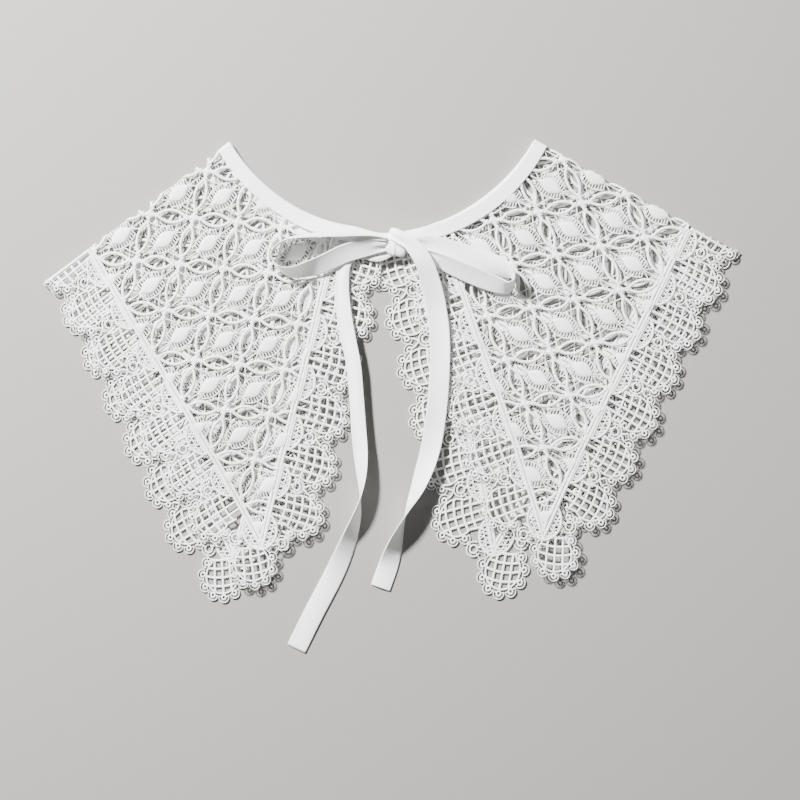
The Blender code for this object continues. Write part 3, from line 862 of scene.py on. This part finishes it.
class Strand(NamedTuple):
    """One station of a ribbon's route: its middle, its tilt from flat and its width."""

    x: float
    y: float
    z: float
    tilt: float
    width: float


LOOP_LEFT = (
    Strand(-5.4, 91.8, 8.6, 100.0, 6.5), Strand(-14.0, 93.5, 9.6, 86.0, 9.5),
    Strand(-30.0, 94.0, 10.2, 78.0, 11.5), Strand(-48.6, 93.7, 10.3, 78.0, 11.5),
    Strand(-62.6, 91.2, 10.4, 84.0, 11.5), Strand(-69.9, 84.2, 10.5, 88.0, 11.5),
    Strand(-67.0, 76.6, 10.4, 82.0, 11.5), Strand(-57.6, 73.4, 9.8, 58.0, 11.5),
    Strand(-43.6, 76.9, 9.0, 36.0, 11.5), Strand(-27.5, 84.0, 8.9, 29.0, 11.5),
    Strand(-14.5, 87.2, 9.2, 30.0, 10.4), Strand(-5.4, 88.2, 9.4, 40.0, 7.2),
)
LOOP_RIGHT = (
    Strand(6.8, 92.0, 8.0, -130.0, 5.4), Strand(15.0, 90.2, 8.8, -150.0, 9.0),
    Strand(28.0, 86.6, 9.2, -166.0, 11.5), Strand(46.5, 81.2, 9.4, -168.0, 11.5),
    Strand(60.0, 75.6, 10.0, -146.0, 11.5), Strand(67.6, 69.8, 10.4, -96.0, 11.5),
    Strand(64.0, 64.8, 9.8, -56.0, 11.5), Strand(53.0, 67.9, 9.0, -38.0, 11.5),
    Strand(36.0, 75.1, 8.8, -36.0, 11.5), Strand(20.0, 82.4, 8.0, -38.0, 8.8),
    Strand(6.8, 86.6, 6.8, -44.0, 5.4),
)
TAIL_LEFT = (
    Strand(-2.4, 84.6, 5.1, 0.0, 5.0), Strand(-9.0, 82.9, 5.0, 0.0, 7.2),
    Strand(-16.5, 84.0, 5.0, 0.0, 7.4),
    Strand(-23.4, 83.6, 5.0, 2.0, 7.0), Strand(-28.6, 77.6, 5.0, 6.0, 7.2),
    Strand(-30.0, 66.0, 5.0, 8.0, 7.8), Strand(-29.4, 53.0, 5.2, 10.0, 8.6),
    Strand(-27.0, 38.0, 5.2, 10.0, 8.8),
    Strand(-23.4, 20.0, 5.2, 10.0, 8.6), Strand(-21.6, 0.0, 5.3, 10.0, 8.4),
    Strand(-20.4, -18.0, 5.6, 14.0, 8.8), Strand(-19.0, -36.0, 5.4, 40.0, 9.6),
    Strand(-19.0, -52.0, 5.6, 76.0, 10.4), Strand(-21.4, -66.0, 5.6, 112.0, 10.8),
    Strand(-27.6, -84.0, 3.4, 152.0, 11.2), Strand(-35.6, -102.0, 0.9, 178.0, 11.5),
    Strand(-46.6, -123.0, 0.55, 180.0, 11.5), Strand(-56.4, -143.0, 0.55, 180.0, 11.5),
)
TAIL_RIGHT = (
    Strand(-2.6, 95.0, 8.4, 0.0, 6.6), Strand(-0.4, 94.6, 11.4, 0.0, 7.0),
    Strand(3.4, 92.6, 12.4, 0.0, 7.6), Strand(9.8, 88.6, 12.7, 0.0, 8.6),
    Strand(16.4, 79.4, 12.4, 4.0, 10.0), Strand(20.8, 67.0, 9.0, 6.0, 11.0),
    Strand(23.8, 53.6, 5.8, 4.0, 11.5), Strand(26.0, 34.5, 5.0, 0.0, 11.5),
    Strand(25.6, 11.5, 4.9, 0.0, 11.5), Strand(23.8, -8.6, 4.9, 0.0, 11.5),
    Strand(20.4, -28.8, 4.8, 14.0, 11.5), Strand(14.0, -48.9, 5.2, 44.0, 11.5),
    Strand(6.4, -66.1, 6.3, 88.0, 11.5), Strand(0.2, -83.4, 4.4, 140.0, 11.5),
    Strand(-3.8, -96.0, 1.0, 176.0, 11.5), Strand(-8.0, -108.0, 0.55, 180.0, 11.5),
)


class Station(NamedTuple):
    """One place along a laid ribbon: its middle, its two directions, its width and its run."""

    middle: Vector
    across: Vector
    through: Vector
    width: float
    run: float


def blended(rows: Sequence[Sequence[float]], position: float) -> list[float]:
    """Return the smooth curve through rows of numbers at a position along them."""
    index = min(int(position), len(rows) - 2)
    share = position - index
    stretch = zip(rows[max(index - 1, 0)], rows[index], rows[index + 1], rows[min(index + 2, len(rows) - 1)])
    values = []
    for before, start, end, after in stretch:
        slope, next_slope = (end - before) / 2.0, (after - start) / 2.0
        cubic = 2.0 * start - 2.0 * end + slope + next_slope
        square = 3.0 * (end - start) - 2.0 * slope - next_slope
        values.append(start + share * (slope + share * (square + share * cubic)))
    return values


def cloth_grid(name: str, columns: int, rows: int, thick: float,
               place: Callable[[float, int], tuple[Vector, float]]) -> bpy.types.Object:
    """Lay a strip of cloth and give it its thickness.

    Args:
        name: The name of the piece.
        columns: How many faces the strip is across.
        rows: How many faces it is along.
        thick: The thickness of the cloth.
        place: Gives the place and the thread position from the share across, -1 to 1, and the row.

    Returns:
        The piece.
    """
    work = bmesh.new()
    thread = work.verts.layers.float.new("run")
    bmesh.ops.create_grid(work, x_segments=columns, y_segments=rows, size=1.0)
    half = max(vert.co.x for vert in work.verts)
    for vert in work.verts:
        row = round((vert.co.y / half + 1.0) / 2.0 * rows)
        point, vert[thread] = place(vert.co.x / half, row)
        vert.co = point * MM
    bmesh.ops.recalc_face_normals(work, faces=work.faces)
    piece = smooth_piece(name, work)
    cloth = piece.modifiers.new("cloth", "SOLIDIFY")
    cloth.thickness = thick * MM
    cloth.offset = 0.0
    return piece


@dataclass
class Ribbon:
    """A soft ribbon on its route, gathered where it goes into the knot."""

    name: str
    node: str
    route: Sequence[Strand]
    length: float
    rests_on: Sequence[str]
    held: str = "laid"
    tuck_start: float = 1.3
    tuck_end: float = 0.0
    full_width: float = 11.5
    thick: float = 0.45
    columns: int = 16
    steps: int = 9
    cup: float = 0.45
    pleats: float = 1.7
    pleat_height: float = 0.6
    slack: float = 0.22
    lowest: float = 0.3

    def stations(self) -> list[Station]:
        """Return the stations along the route, close enough for smooth folds."""
        count = (len(self.route) - 1) * self.steps
        rows = [blended(self.route, step / self.steps) for step in range(count + 1)]
        run = 0.0
        stations = []
        for index, (x, y, z, tilt, width) in enumerate(rows):
            before, after = Vector(rows[max(index - 1, 0)][:3]), Vector(rows[min(index + 1, count)][:3])
            forward = (after - before).normalized()
            level = Vector((-forward.y, forward.x, 0.0)).normalized()
            upward = forward.cross(level)
            angle = math.radians(tilt)
            tuck = self.tuck_start if index == 0 else -self.tuck_end if index == count else 0.0
            middle = Vector((x - LAY_CENTRE.x, y - LAY_CENTRE.y, z)) - forward * tuck
            run += (middle - stations[-1].middle).length if stations else 0.0
            stations.append(Station(middle, level * math.cos(angle) + upward * math.sin(angle),
                                    upward * math.cos(angle) - level * math.sin(angle), width, run))
        return stations

    def build(self) -> bpy.types.Object:
        """Return the ribbon, laid along its route."""
        stations = self.stations()

        def place(share: float, row: int) -> tuple[Vector, float]:
            """Return where a point across one station lies, and its place across the ribbon."""
            station = stations[row]
            gather = 1.0 - station.width / self.full_width
            pleat = math.sin(self.pleats * math.pi * share + 0.7)
            fold = pleat * self.pleat_height * smoothstep(gather, 0.04, 0.4)
            cup = self.cup * (share * share - 0.4) * (1.0 - gather)
            slack = self.slack * math.sin(station.run / 13.0 + 1.4 * share)
            hem = 0.07 * smoothstep(abs(share), 0.86, 0.93)
            point = (station.middle + station.across * (share * station.width / 2.0)
                     + station.through * (fold + cup + slack + hem))
            point.z = max(point.z, self.lowest)
            return point, share * self.full_width / 2.0

        return cloth_grid(self.name, self.columns, len(stations) - 1, self.thick, place)


@dataclass
class Neckband:
    """The tape that is folded double over the neck edge and sewn down."""

    name: str = "neck_tape"
    node: str = "neckband"
    width: float = 8.6
    thick: float = 1.6
    cloth: float = 0.45
    seam_gap: float = 0.3
    end_gap: float = 0.5
    end_degrees: int = 68
    fold_room: float = 3.6
    columns: int = 26
    flat_length: float = 445.0
    knot_x: float = 0.6
    taper: float = 0.38
    taper_reach: tuple[float, float] = (5.0, 26.0)

    def angles(self, laying: Laying) -> list[float]:
        """Return the angles along one half's neck, in degrees, with close ones at the fold."""
        crease = math.degrees(math.asin(laying.crease_q / CUT.neck_radius))
        near = math.degrees(self.fold_room / CUT.neck_radius)
        fine = [crease + near * step / 12.0 for step in range(-12, 13)]
        broad = [float(angle) for angle in range(-self.end_degrees, self.end_degrees + 1)
                 if abs(angle - crease) > near + 0.3]
        return sorted(fine + broad)

    def point(self, laying: Laying, degrees: float, share: float) -> Vector:
        """Return one point of the folded tape.

        Args:
            laying: The half that the point is on.
            degrees: Its angle about the middle of the neck.
            share: Its place across the tape, -1 at the hidden edge and 1 at the sewn edge.

        Returns:
            The place in millimetres.
        """
        depth = abs(share)
        angle = math.radians(degrees)
        edge = CUT.neck_radius - self.seam_gap
        outer = Vector((CUT.neck_centre + edge * math.cos(angle), edge * math.sin(angle)))
        panel = Panel.FRONT if outer.y >= laying.crease_q else Panel.BACK
        from_knot = abs(laying.place(*outer, 0.0, self.thick).x / MM + LAY_CENTRE.x - self.knot_x)
        near_knot = 1.0 - smoothstep(from_knot, *self.taper_reach)
        drawn_in = self.taper * near_knot if panel is Panel.FRONT else 0.0
        radius = edge - self.width * (1.0 - drawn_in) * (1.0 - max(depth - 0.05, 0.0) / 0.95)
        height = (self.thick - self.cloth) / 2.0
        lift = math.copysign(height * math.sqrt(min(depth / 0.09, 1.0)), share)
        if share > 0.0:
            lift -= 0.16 * (smoothstep(depth, 0.76, 0.8) - smoothstep(depth, 0.82, 0.86))
            lift += 0.05 * math.sin(degrees * 2.6) * smoothstep(depth, 0.5, 0.9)
        p, q = CUT.neck_centre + radius * math.cos(angle), radius * math.sin(angle)
        if abs((outer.y - laying.crease_q) * laying.reach(p, panel)) < 2.0 * CUT.fold_radius:
            q = outer.y
        return laying.place(p, q, lift, self.thick) / MM

    def rows(self) -> list[tuple[Laying, float]]:
        """Return the rows along the tape: left front, left back, right back and right front."""
        kept = []
        for laying, outward in ((LEFT, 1.0), (RIGHT, -1.0)):
            side = []
            for degrees in self.angles(laying):
                edges = [self.point(laying, degrees, share).x + LAY_CENTRE.x for share in (0.0, 1.0)]
                limit = laying.band_end_x if degrees * CUT.neck_radius > laying.crease_q else BACK_SEAM_X
                if all((limit - x) * outward > self.end_gap for x in edges):
                    side.append((laying, degrees))
            kept.append(side)
        return list(reversed(kept[0])) + kept[1]

    def build(self) -> bpy.types.Object:
        """Return the whole tape."""
        rows = self.rows()

        def place(share: float, row: int) -> tuple[Vector, float]:
            """Return where a point across one row lies, and its place across the tape."""
            return self.point(*rows[row], share), share * self.width

        return cloth_grid(self.name, self.columns, len(rows) - 1, self.cloth, place)


@dataclass
class Knot:
    """The wrap of ribbon that holds the bow, with its soft pleats."""

    name: str = "wrapped_knot"
    node: str = "bow_knot"
    centre: tuple[float, float] = (0.6, 88.6)
    size: tuple[float, float, float] = (11.0, 15.0, 6.6)
    base: float = 4.3
    slant: float = 1.2
    ridge: tuple[float, float, float] = (-0.14, 0.13, 0.16)
    columns: int = 28
    rows: int = 48

    def build(self) -> bpy.types.Object:
        """Return the knot, closed where the loops go in."""
        work = bmesh.new()
        thread = work.verts.layers.float.new("run")
        bmesh.ops.create_grid(work, x_segments=self.columns, y_segments=self.rows, size=1.0)
        half = max(vert.co.x for vert in work.verts)
        for vert in work.verts:
            share, angle = vert.co.x / half, math.pi * vert.co.y / half
            vert[thread] = share * self.size[0] / 2.0
            vert.co = self.point(share, angle) * MM
        bmesh.ops.remove_doubles(work, verts=work.verts, dist=0.01 * MM)
        bmesh.ops.holes_fill(work, edges=[edge for edge in work.edges if edge.is_boundary], sides=0)
        bmesh.ops.recalc_face_normals(work, faces=work.faces)
        return smooth_piece(self.name, work)

    def point(self, share: float, angle: float) -> Vector:
        """Return one point of the wrap, from its share along the bow and its turn about it."""
        middle, spread, rise = self.ridge
        from_ridge = (share - middle - 0.06 * math.cos(angle)) / spread
        fold = rise * math.exp(-from_ridge ** 2) * abs(math.sin(angle))
        belly = (1.0 + fold - rise) * (1.0 - 0.3 * abs(share) ** 4.0)
        wide = math.copysign(abs(math.cos(angle)) ** 0.8, math.cos(angle))
        high = math.copysign(abs(math.sin(angle)) ** 0.8, math.sin(angle))
        return Vector((self.centre[0] - LAY_CENTRE.x + share * self.size[0] / 2.0,
                       self.centre[1] - LAY_CENTRE.y - self.slant * share + wide * belly * self.size[1] / 2.0,
                       self.base + self.size[2] / 2.0 * (1.0 + high * belly)))


RIBBONS = (
    Ribbon("left_bow_loop", "bow_loop_left", LOOP_LEFT, 139.5, ["wrapped_knot"], "folded", tuck_end=1.3),
    Ribbon("right_bow_loop", "bow_loop_right", LOOP_RIGHT, 139.8, ["wrapped_knot"], "folded", tuck_end=1.3),
    Ribbon("left_tie_tail", "tie_tail_left", TAIL_LEFT, 249.0, ["left_guipure", "ground"], pleats=0.9),
    Ribbon("right_tie_tail", "tie_tail_right", TAIL_RIGHT, 214.5, ["right_guipure", "ground"], tuck_start=0.0,
           pleats=1.3),
)


@dataclass(frozen=True)
class Finish:
    """A white thread finish: the close satin stitches of the lace or the fine ribs of the ribbon."""

    name: str
    colour: tuple[float, float, float]
    shade: tuple[float, float, float]
    roughness: float
    sheen: float
    sheen_roughness: float
    pitch: float
    bump: float
    bump_depth: float

    def material(self) -> bpy.types.Material:
        """Return the material, with its threads laid along each cord or ribbon."""
        material = bpy.data.materials.new(self.name)
        material.use_nodes = True
        tree = material.node_tree
        shader = tree.nodes["Principled BSDF"]
        shader.inputs["Sheen Weight"].default_value = self.sheen
        shader.inputs["Sheen Roughness"].default_value = self.sheen_roughness
        thread = tree.nodes.new("ShaderNodeGroup")
        thread.node_tree = thread_group()
        thread.inputs["Pitch"].default_value = self.pitch
        thread.inputs["Roughness"].default_value = self.roughness
        thread.inputs["Colour"].default_value = (*self.colour, 1.0)
        thread.inputs["Shade"].default_value = (*self.shade, 1.0)
        run = tree.nodes.new("ShaderNodeAttribute")
        run.attribute_name = "run"
        place = tree.nodes.new("ShaderNodeTexCoord")
        bump = tree.nodes.new("ShaderNodeBump")
        bump.inputs["Strength"].default_value = self.bump
        bump.inputs["Distance"].default_value = self.bump_depth * MM
        link = tree.links.new
        link(run.outputs["Fac"], thread.inputs["Run"])
        link(place.outputs["Object"], thread.inputs["Place"])
        link(thread.outputs["Colour"], shader.inputs["Base Color"])
        link(thread.outputs["Roughness"], shader.inputs["Roughness"])
        link(thread.outputs["Height"], bump.inputs["Height"])
        link(bump.outputs["Normal"], shader.inputs["Normal"])
        return material


COTTON = Finish(name="embroidery_cotton", colour=(0.91, 0.91, 0.9), shade=(0.84, 0.835, 0.82), roughness=0.72,
                sheen=0.25, sheen_roughness=0.4, pitch=0.42, bump=0.5, bump_depth=0.15)
SATIN = Finish(name="ribbon_satin", colour=(0.9, 0.9, 0.89), shade=(0.86, 0.86, 0.85), roughness=0.42,
               sheen=0.3, sheen_roughness=0.3, pitch=0.55, bump=0.3, bump_depth=0.1)


def thread_group() -> bpy.types.NodeTree:
    """Return the shared group that lays threads along a surface, built the first time."""
    name = "laid_threads"
    if name in bpy.data.node_groups:
        return bpy.data.node_groups[name]
    tree = bpy.data.node_groups.new(name, "ShaderNodeTree")
    sockets = [("Run", "INPUT", "NodeSocketFloat"), ("Place", "INPUT", "NodeSocketVector"),
               ("Pitch", "INPUT", "NodeSocketFloat"), ("Roughness", "INPUT", "NodeSocketFloat"),
               ("Colour", "INPUT", "NodeSocketColor"), ("Shade", "INPUT", "NodeSocketColor"),
               ("Colour", "OUTPUT", "NodeSocketColor"), ("Roughness", "OUTPUT", "NodeSocketFloat"),
               ("Height", "OUTPUT", "NodeSocketFloat")]
    for label, way, kind in sockets:
        tree.interface.new_socket(name=label, in_out=way, socket_type=kind)
    new, link = tree.nodes.new, tree.links.new
    inside, outside = new("NodeGroupInput"), new("NodeGroupOutput")
    turns = new("ShaderNodeMath")
    turns.operation = "DIVIDE"
    link(inside.outputs["Run"], turns.inputs[0])
    link(inside.outputs["Pitch"], turns.inputs[1])
    angle = new("ShaderNodeMath")
    angle.operation = "MULTIPLY"
    angle.inputs[1].default_value = 2.0 * math.pi
    link(turns.outputs[0], angle.inputs[0])
    wave = new("ShaderNodeMath")
    wave.operation = "SINE"
    link(angle.outputs[0], wave.inputs[0])
    fuzz = new("ShaderNodeTexNoise")
    fuzz.inputs["Scale"].default_value = 1800.0
    fuzz.inputs["Detail"].default_value = 2.0
    link(inside.outputs["Place"], fuzz.inputs["Vector"])
    cloud = new("ShaderNodeTexNoise")
    cloud.inputs["Scale"].default_value = 45.0
    cloud.inputs["Detail"].default_value = 3.0
    link(inside.outputs["Place"], cloud.inputs["Vector"])
    height = new("ShaderNodeMath")
    height.operation = "MULTIPLY_ADD"
    height.inputs[1].default_value = 0.5
    link(wave.outputs[0], height.inputs[0])
    link(fuzz.outputs["Fac"], height.inputs[2])
    tone = new("ShaderNodeMapRange")
    tone.inputs["From Min"].default_value = 0.35
    tone.inputs["From Max"].default_value = 0.7
    link(cloud.outputs["Fac"], tone.inputs["Value"])
    colour = new("ShaderNodeMix")
    colour.data_type = "RGBA"
    link(tone.outputs["Result"], colour.inputs["Factor"])
    link(inside.outputs["Colour"], colour.inputs[6])
    link(inside.outputs["Shade"], colour.inputs[7])
    rough = new("ShaderNodeMath")
    rough.operation = "MULTIPLY_ADD"
    rough.inputs[1].default_value = 0.12
    link(fuzz.outputs["Fac"], rough.inputs[0])
    link(inside.outputs["Roughness"], rough.inputs[2])
    link(colour.outputs[2], outside.inputs["Colour"])
    link(rough.outputs[0], outside.inputs["Roughness"])
    link(height.outputs[0], outside.inputs["Height"])
    return tree


@dataclass
class Studio:
    """The pale ground, the soft light and the camera straight above."""

    floor_size: float = 12.0
    floor_colour: tuple[float, float, float] = (0.25, 0.243, 0.232)
    view_centre: tuple[float, float] = (4.77, -2.11)
    view_width: float = 460.0
    lens: float = 100.0
    sensor: float = 36.0
    key_place: tuple[float, float, float] = (-0.8, 0.88, 0.98)
    key_energy: float = 145.0
    key_size: float = 0.2
    fill_place: tuple[float, float, float] = (0.9, -0.3, 1.1)
    fill_energy: float = 3.0
    fill_size: float = 1.2
    room_light: float = 0.12

    def floor(self) -> bpy.types.Object:
        """Return the ground that the collar lies on."""
        work = bmesh.new()
        bmesh.ops.create_grid(work, x_segments=1, y_segments=1, size=self.floor_size / 2.0)
        mesh = bpy.data.meshes.new("ground")
        work.to_mesh(mesh)
        work.free()
        mesh.transform(Matrix.Translation((0.0, 0.0, -0.0002)))
        material = bpy.data.materials.new("ground_paper")
        material.use_nodes = True
        shader = material.node_tree.nodes["Principled BSDF"]
        shader.inputs["Base Color"].default_value = (*self.floor_colour, 1.0)
        shader.inputs["Roughness"].default_value = 0.9
        mesh.materials.append(material)
        floor = bpy.data.objects.new("ground", mesh)
        bpy.context.scene.collection.objects.link(floor)
        return floor

    def light(self, name: str, energy: float, size: float, place: Sequence[float]) -> None:
        """Add one soft light that faces the middle of the collar."""
        data = bpy.data.lights.new(name, "AREA")
        data.energy = energy
        data.shape = "DISK"
        data.size = size
        lamp = bpy.data.objects.new(name, data)
        lamp.location = place
        lamp.rotation_euler = (-Vector(place)).to_track_quat("-Z", "Y").to_euler()
        bpy.context.scene.collection.objects.link(lamp)

    def camera(self) -> None:
        """Add the camera, straight above the middle of the photo's frame."""
        data = bpy.data.cameras.new("camera")
        data.lens = self.lens
        data.sensor_width = self.sensor
        camera = bpy.data.objects.new("camera", data)
        distance = self.view_width * MM * self.lens / self.sensor
        camera.location = (self.view_centre[0] * MM, self.view_centre[1] * MM, distance)
        bpy.context.scene.collection.objects.link(camera)
        bpy.context.scene.camera = camera

    def build(self) -> bpy.types.Object:
        """Set up the whole studio and return its floor."""
        floor = self.floor()
        self.light("key_light", self.key_energy, self.key_size, self.key_place)
        self.light("fill_light", self.fill_energy, self.fill_size, self.fill_place)
        self.camera()
        world = bpy.data.worlds.new("room")
        world.use_nodes = True
        background = world.node_tree.nodes["Background"]
        background.inputs["Color"].default_value = (1.0, 1.0, 1.0, 1.0)
        background.inputs["Strength"].default_value = self.room_light
        bpy.context.scene.world = world
        return floor


def dress(piece: bpy.types.Object, finish: bpy.types.Material, node: str) -> None:
    """Give a piece its finish, attach it to the root and hide the solid that it stands for.

    Args:
        piece: The finished piece.
        finish: Its material.
        node: The solid that it replaces.
    """
    piece.data.materials.append(finish)
    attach(piece, "root")
    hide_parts(node)
    triangles = sum(len(face.vertices) - 2 for face in piece.data.polygons)
    log.info("%s: %d triangles before its thickness", piece.name, triangles)


def main() -> None:
    """Build every piece of the collar in order."""
    cotton, satin = COTTON.material(), SATIN.material()
    Studio().build()
    for laying in (LEFT, RIGHT):
        lace = LaceHalf(laying).build()
        dress(lace, cotton, f"{laying.side.value}_lace")
    band = Neckband()
    tape = band.build()
    dress(tape, satin, band.node)
    knot = Knot()
    wrap = knot.build()
    dress(wrap, satin, knot.node)
    for ribbon in RIBBONS:
        piece = ribbon.build()
        dress(piece, satin, ribbon.node)


if __name__ == "__main__":
    main()
